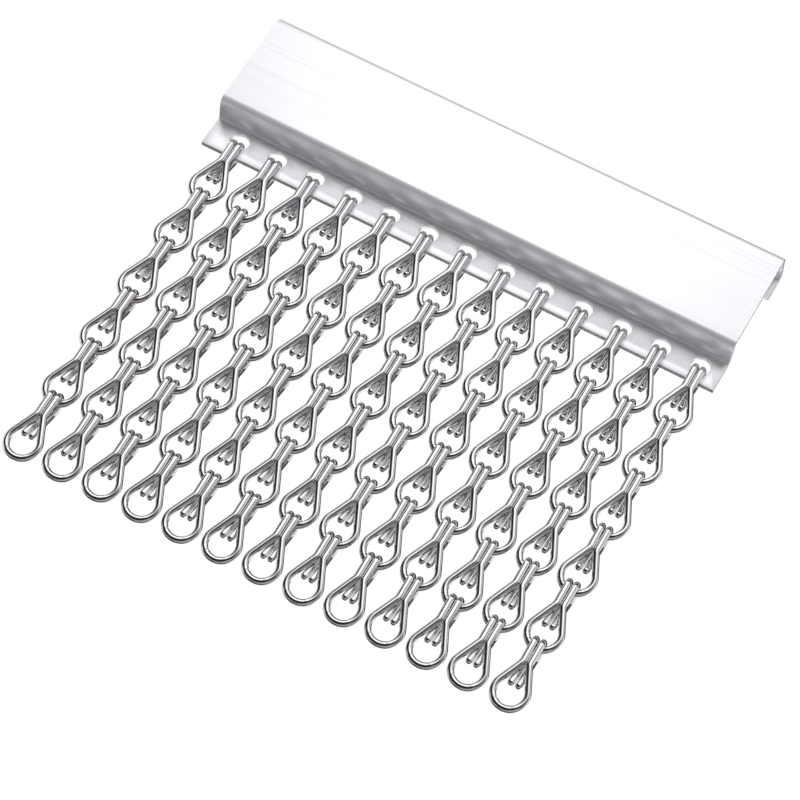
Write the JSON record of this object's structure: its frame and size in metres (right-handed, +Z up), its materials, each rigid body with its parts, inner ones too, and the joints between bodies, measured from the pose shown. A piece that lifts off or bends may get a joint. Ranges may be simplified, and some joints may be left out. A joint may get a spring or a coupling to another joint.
{
  "type": "chain curtain",
  "caption": "Aluminium chain curtain section: a folded header rail with strands of bright double-hook wire links that hang from its drilled flange and swing freely.",
  "frame": {"origin": "middle of the rail's rear mounting face", "axes": "+X along the rail to the right as seen from the front, +Y to the rear, towards the wall, +Z up"},
  "size_m": [0.176, 0.0154, 0.1784],
  "materials": {
    "rail": "satin anodised sheet",
    "links": "bright anodised wire"
  },
  "bodies": {
    "header_rail": {"header_rail": "rail"},
    "strand_01_link_1": {"strand_01_link_1": "links"},
    "strand_01_link_2": {"strand_01_link_2": "links"},
    "strand_01_links_3_4": {"strand_01_links_3_4": "links"},
    "strand_01_links_5_6": {"strand_01_links_5_6": "links"},
    "strand_02_link_1": {"strand_02_link_1": "links"},
    "strand_02_link_2": {"strand_02_link_2": "links"},
    "strand_02_links_3_4": {"strand_02_links_3_4": "links"},
    "strand_02_links_5_6": {"strand_02_links_5_6": "links"},
    "strand_03_link_1": {"strand_03_link_1": "links"},
    "strand_03_link_2": {"strand_03_link_2": "links"},
    "strand_03_links_3_4": {"strand_03_links_3_4": "links"},
    "strand_03_links_5_6": {"strand_03_links_5_6": "links"},
    "strand_04_link_1": {"strand_04_link_1": "links"},
    "strand_04_link_2": {"strand_04_link_2": "links"},
    "strand_04_links_3_4": {"strand_04_links_3_4": "links"},
    "strand_04_links_5_6": {"strand_04_links_5_6": "links"},
    "strand_05_link_1": {"strand_05_link_1": "links"},
    "strand_05_link_2": {"strand_05_link_2": "links"},
    "strand_05_links_3_4": {"strand_05_links_3_4": "links"},
    "strand_05_links_5_6": {"strand_05_links_5_6": "links"},
    "strand_06_link_1": {"strand_06_link_1": "links"},
    "strand_06_link_2": {"strand_06_link_2": "links"},
    "strand_06_links_3_4": {"strand_06_links_3_4": "links"},
    "strand_06_links_5_6": {"strand_06_links_5_6": "links"},
    "strand_07_link_1": {"strand_07_link_1": "links"},
    "strand_07_link_2": {"strand_07_link_2": "links"},
    "strand_07_links_3_4": {"strand_07_links_3_4": "links"},
    "strand_07_links_5_6": {"strand_07_links_5_6": "links"},
    "strand_08_link_1": {"strand_08_link_1": "links"},
    "strand_08_link_2": {"strand_08_link_2": "links"},
    "strand_08_links_3_4": {"strand_08_links_3_4": "links"},
    "strand_08_links_5_6": {"strand_08_links_5_6": "links"},
    "strand_09_link_1": {"strand_09_link_1": "links"},
    "strand_09_link_2": {"strand_09_link_2": "links"},
    "strand_09_links_3_4": {"strand_09_links_3_4": "links"},
    "strand_09_links_5_6": {"strand_09_links_5_6": "links"},
    "strand_10_link_1": {"strand_10_link_1": "links"},
    "strand_10_link_2": {"strand_10_link_2": "links"},
    "strand_10_links_3_4": {"strand_10_links_3_4": "links"},
    "strand_10_links_5_6": {"strand_10_links_5_6": "links"},
    "strand_11_link_1": {"strand_11_link_1": "links"},
    "strand_11_link_2": {"strand_11_link_2": "links"},
    "strand_11_links_3_4": {"strand_11_links_3_4": "links"},
    "strand_11_links_5_6": {"strand_11_links_5_6": "links"},
    "strand_12_link_1": {"strand_12_link_1": "links"},
    "strand_12_link_2": {"strand_12_link_2": "links"},
    "strand_12_links_3_4": {"strand_12_links_3_4": "links"},
    "strand_12_links_5_6": {"strand_12_links_5_6": "links"},
    "strand_13_link_1": {"strand_13_link_1": "links"},
    "strand_13_link_2": {"strand_13_link_2": "links"},
    "strand_13_links_3_4": {"strand_13_links_3_4": "links"},
    "strand_13_links_5_6": {"strand_13_links_5_6": "links"}
  },
  "joints": [
    {"name": "strand_01_rail_to_link_1", "type": "hinge", "parent": "header_rail", "child": "strand_01_link_1", "pos_m": [-0.0779, -0.00515, -0.04511], "axis": [-1, 0, 0], "range_deg": [-15, 15]},
    {"name": "strand_01_link_1_to_link_2", "type": "hinge", "parent": "strand_01_link_1", "child": "strand_01_link_2", "pos_m": [-0.0779, -0.00515, -0.06631], "axis": [-1, 0, 0], "range_deg": [-65, 65]},
    {"name": "strand_01_link_2_to_link_3", "type": "hinge", "parent": "strand_01_link_2", "child": "strand_01_links_3_4", "pos_m": [-0.0779, -0.00515, -0.08751], "axis": [-1, 0, 0], "range_deg": [-65, 65]},
    {"name": "strand_01_link_4_to_link_5", "type": "hinge", "parent": "strand_01_links_3_4", "child": "strand_01_links_5_6", "pos_m": [-0.0779, -0.00515, -0.13028], "axis": [-1, 0, 0], "range_deg": [-65, 65]},
    {"name": "strand_02_rail_to_link_1", "type": "hinge", "parent": "header_rail", "child": "strand_02_link_1", "pos_m": [-0.06465, -0.00515, -0.04511], "axis": [-1, 0, 0], "range_deg": [-15, 15]},
    {"name": "strand_02_link_1_to_link_2", "type": "hinge", "parent": "strand_02_link_1", "child": "strand_02_link_2", "pos_m": [-0.06465, -0.00515, -0.06631], "axis": [-1, 0, 0], "range_deg": [-65, 65]},
    {"name": "strand_02_link_2_to_link_3", "type": "hinge", "parent": "strand_02_link_2", "child": "strand_02_links_3_4", "pos_m": [-0.06465, -0.00515, -0.08751], "axis": [-1, 0, 0], "range_deg": [-65, 65]},
    {"name": "strand_02_link_4_to_link_5", "type": "hinge", "parent": "strand_02_links_3_4", "child": "strand_02_links_5_6", "pos_m": [-0.06465, -0.00515, -0.13028], "axis": [-1, 0, 0], "range_deg": [-65, 65]},
    {"name": "strand_03_rail_to_link_1", "type": "hinge", "parent": "header_rail", "child": "strand_03_link_1", "pos_m": [-0.0514, -0.00515, -0.04511], "axis": [-1, 0, 0], "range_deg": [-15, 15]},
    {"name": "strand_03_link_1_to_link_2", "type": "hinge", "parent": "strand_03_link_1", "child": "strand_03_link_2", "pos_m": [-0.0514, -0.00515, -0.06631], "axis": [-1, 0, 0], "range_deg": [-65, 65]},
    {"name": "strand_03_link_2_to_link_3", "type": "hinge", "parent": "strand_03_link_2", "child": "strand_03_links_3_4", "pos_m": [-0.0514, -0.00515, -0.08751], "axis": [-1, 0, 0], "range_deg": [-65, 65]},
    {"name": "strand_03_link_4_to_link_5", "type": "hinge", "parent": "strand_03_links_3_4", "child": "strand_03_links_5_6", "pos_m": [-0.0514, -0.00515, -0.13028], "axis": [-1, 0, 0], "range_deg": [-65, 65]},
    {"name": "strand_04_rail_to_link_1", "type": "hinge", "parent": "header_rail", "child": "strand_04_link_1", "pos_m": [-0.03815, -0.00515, -0.04511], "axis": [-1, 0, 0], "range_deg": [-15, 15]},
    {"name": "strand_04_link_1_to_link_2", "type": "hinge", "parent": "strand_04_link_1", "child": "strand_04_link_2", "pos_m": [-0.03815, -0.00515, -0.06631], "axis": [-1, 0, 0], "range_deg": [-65, 65]},
    {"name": "strand_04_link_2_to_link_3", "type": "hinge", "parent": "strand_04_link_2", "child": "strand_04_links_3_4", "pos_m": [-0.03815, -0.00515, -0.08751], "axis": [-1, 0, 0], "range_deg": [-65, 65]},
    {"name": "strand_04_link_4_to_link_5", "type": "hinge", "parent": "strand_04_links_3_4", "child": "strand_04_links_5_6", "pos_m": [-0.03815, -0.00515, -0.13028], "axis": [-1, 0, 0], "range_deg": [-65, 65]},
    {"name": "strand_05_rail_to_link_1", "type": "hinge", "parent": "header_rail", "child": "strand_05_link_1", "pos_m": [-0.0249, -0.00515, -0.04511], "axis": [-1, 0, 0], "range_deg": [-15, 15]},
    {"name": "strand_05_link_1_to_link_2", "type": "hinge", "parent": "strand_05_link_1", "child": "strand_05_link_2", "pos_m": [-0.0249, -0.00515, -0.06631], "axis": [-1, 0, 0], "range_deg": [-65, 65]},
    {"name": "strand_05_link_2_to_link_3", "type": "hinge", "parent": "strand_05_link_2", "child": "strand_05_links_3_4", "pos_m": [-0.0249, -0.00515, -0.08751], "axis": [-1, 0, 0], "range_deg": [-65, 65]},
    {"name": "strand_05_link_4_to_link_5", "type": "hinge", "parent": "strand_05_links_3_4", "child": "strand_05_links_5_6", "pos_m": [-0.0249, -0.00515, -0.13028], "axis": [-1, 0, 0], "range_deg": [-65, 65]},
    {"name": "strand_06_rail_to_link_1", "type": "hinge", "parent": "header_rail", "child": "strand_06_link_1", "pos_m": [-0.01165, -0.00515, -0.04511], "axis": [-1, 0, 0], "range_deg": [-15, 15]},
    {"name": "strand_06_link_1_to_link_2", "type": "hinge", "parent": "strand_06_link_1", "child": "strand_06_link_2", "pos_m": [-0.01165, -0.00515, -0.06631], "axis": [-1, 0, 0], "range_deg": [-65, 65]},
    {"name": "strand_06_link_2_to_link_3", "type": "hinge", "parent": "strand_06_link_2", "child": "strand_06_links_3_4", "pos_m": [-0.01165, -0.00515, -0.08751], "axis": [-1, 0, 0], "range_deg": [-65, 65]},
    {"name": "strand_06_link_4_to_link_5", "type": "hinge", "parent": "strand_06_links_3_4", "child": "strand_06_links_5_6", "pos_m": [-0.01165, -0.00515, -0.13028], "axis": [-1, 0, 0], "range_deg": [-65, 65]},
    {"name": "strand_07_rail_to_link_1", "type": "hinge", "parent": "header_rail", "child": "strand_07_link_1", "pos_m": [0.0016, -0.00515, -0.04511], "axis": [-1, 0, 0], "range_deg": [-15, 15]},
    {"name": "strand_07_link_1_to_link_2", "type": "hinge", "parent": "strand_07_link_1", "child": "strand_07_link_2", "pos_m": [0.0016, -0.00515, -0.06631], "axis": [-1, 0, 0], "range_deg": [-65, 65]},
    {"name": "strand_07_link_2_to_link_3", "type": "hinge", "parent": "strand_07_link_2", "child": "strand_07_links_3_4", "pos_m": [0.0016, -0.00515, -0.08751], "axis": [-1, 0, 0], "range_deg": [-65, 65]},
    {"name": "strand_07_link_4_to_link_5", "type": "hinge", "parent": "strand_07_links_3_4", "child": "strand_07_links_5_6", "pos_m": [0.0016, -0.00515, -0.13028], "axis": [-1, 0, 0], "range_deg": [-65, 65]},
    {"name": "strand_08_rail_to_link_1", "type": "hinge", "parent": "header_rail", "child": "strand_08_link_1", "pos_m": [0.01485, -0.00515, -0.04511], "axis": [-1, 0, 0], "range_deg": [-15, 15]},
    {"name": "strand_08_link_1_to_link_2", "type": "hinge", "parent": "strand_08_link_1", "child": "strand_08_link_2", "pos_m": [0.01485, -0.00515, -0.06631], "axis": [-1, 0, 0], "range_deg": [-65, 65]},
    {"name": "strand_08_link_2_to_link_3", "type": "hinge", "parent": "strand_08_link_2", "child": "strand_08_links_3_4", "pos_m": [0.01485, -0.00515, -0.08751], "axis": [-1, 0, 0], "range_deg": [-65, 65]},
    {"name": "strand_08_link_4_to_link_5", "type": "hinge", "parent": "strand_08_links_3_4", "child": "strand_08_links_5_6", "pos_m": [0.01485, -0.00515, -0.13028], "axis": [-1, 0, 0], "range_deg": [-65, 65]},
    {"name": "strand_09_rail_to_link_1", "type": "hinge", "parent": "header_rail", "child": "strand_09_link_1", "pos_m": [0.0281, -0.00515, -0.04511], "axis": [-1, 0, 0], "range_deg": [-15, 15]},
    {"name": "strand_09_link_1_to_link_2", "type": "hinge", "parent": "strand_09_link_1", "child": "strand_09_link_2", "pos_m": [0.0281, -0.00515, -0.06631], "axis": [-1, 0, 0], "range_deg": [-65, 65]},
    {"name": "strand_09_link_2_to_link_3", "type": "hinge", "parent": "strand_09_link_2", "child": "strand_09_links_3_4", "pos_m": [0.0281, -0.00515, -0.08751], "axis": [-1, 0, 0], "range_deg": [-65, 65]},
    {"name": "strand_09_link_4_to_link_5", "type": "hinge", "parent": "strand_09_links_3_4", "child": "strand_09_links_5_6", "pos_m": [0.0281, -0.00515, -0.13028], "axis": [-1, 0, 0], "range_deg": [-65, 65]},
    {"name": "strand_10_rail_to_link_1", "type": "hinge", "parent": "header_rail", "child": "strand_10_link_1", "pos_m": [0.04135, -0.00515, -0.04511], "axis": [-1, 0, 0], "range_deg": [-15, 15]},
    {"name": "strand_10_link_1_to_link_2", "type": "hinge", "parent": "strand_10_link_1", "child": "strand_10_link_2", "pos_m": [0.04135, -0.00515, -0.06631], "axis": [-1, 0, 0], "range_deg": [-65, 65]},
    {"name": "strand_10_link_2_to_link_3", "type": "hinge", "parent": "strand_10_link_2", "child": "strand_10_links_3_4", "pos_m": [0.04135, -0.00515, -0.08751], "axis": [-1, 0, 0], "range_deg": [-65, 65]},
    {"name": "strand_10_link_4_to_link_5", "type": "hinge", "parent": "strand_10_links_3_4", "child": "strand_10_links_5_6", "pos_m": [0.04135, -0.00515, -0.13028], "axis": [-1, 0, 0], "range_deg": [-65, 65]},
    {"name": "strand_11_rail_to_link_1", "type": "hinge", "parent": "header_rail", "child": "strand_11_link_1", "pos_m": [0.0546, -0.00515, -0.04511], "axis": [-1, 0, 0], "range_deg": [-15, 15]},
    {"name": "strand_11_link_1_to_link_2", "type": "hinge", "parent": "strand_11_link_1", "child": "strand_11_link_2", "pos_m": [0.0546, -0.00515, -0.06631], "axis": [-1, 0, 0], "range_deg": [-65, 65]},
    {"name": "strand_11_link_2_to_link_3", "type": "hinge", "parent": "strand_11_link_2", "child": "strand_11_links_3_4", "pos_m": [0.0546, -0.00515, -0.08751], "axis": [-1, 0, 0], "range_deg": [-65, 65]},
    {"name": "strand_11_link_4_to_link_5", "type": "hinge", "parent": "strand_11_links_3_4", "child": "strand_11_links_5_6", "pos_m": [0.0546, -0.00515, -0.13028], "axis": [-1, 0, 0], "range_deg": [-65, 65]},
    {"name": "strand_12_rail_to_link_1", "type": "hinge", "parent": "header_rail", "child": "strand_12_link_1", "pos_m": [0.06785, -0.00515, -0.04511], "axis": [-1, 0, 0], "range_deg": [-15, 15]},
    {"name": "strand_12_link_1_to_link_2", "type": "hinge", "parent": "strand_12_link_1", "child": "strand_12_link_2", "pos_m": [0.06785, -0.00515, -0.06631], "axis": [-1, 0, 0], "range_deg": [-65, 65]},
    {"name": "strand_12_link_2_to_link_3", "type": "hinge", "parent": "strand_12_link_2", "child": "strand_12_links_3_4", "pos_m": [0.06785, -0.00515, -0.08751], "axis": [-1, 0, 0], "range_deg": [-65, 65]},
    {"name": "strand_12_link_4_to_link_5", "type": "hinge", "parent": "strand_12_links_3_4", "child": "strand_12_links_5_6", "pos_m": [0.06785, -0.00515, -0.13028], "axis": [-1, 0, 0], "range_deg": [-65, 65]},
    {"name": "strand_13_rail_to_link_1", "type": "hinge", "parent": "header_rail", "child": "strand_13_link_1", "pos_m": [0.0811, -0.00515, -0.04511], "axis": [-1, 0, 0], "range_deg": [-15, 15]},
    {"name": "strand_13_link_1_to_link_2", "type": "hinge", "parent": "strand_13_link_1", "child": "strand_13_link_2", "pos_m": [0.0811, -0.00515, -0.06631], "axis": [-1, 0, 0], "range_deg": [-65, 65]},
    {"name": "strand_13_link_2_to_link_3", "type": "hinge", "parent": "strand_13_link_2", "child": "strand_13_links_3_4", "pos_m": [0.0811, -0.00515, -0.08751], "axis": [-1, 0, 0], "range_deg": [-65, 65]},
    {"name": "strand_13_link_4_to_link_5", "type": "hinge", "parent": "strand_13_links_3_4", "child": "strand_13_links_5_6", "pos_m": [0.0811, -0.00515, -0.13028], "axis": [-1, 0, 0], "range_deg": [-65, 65]}
  ]
}
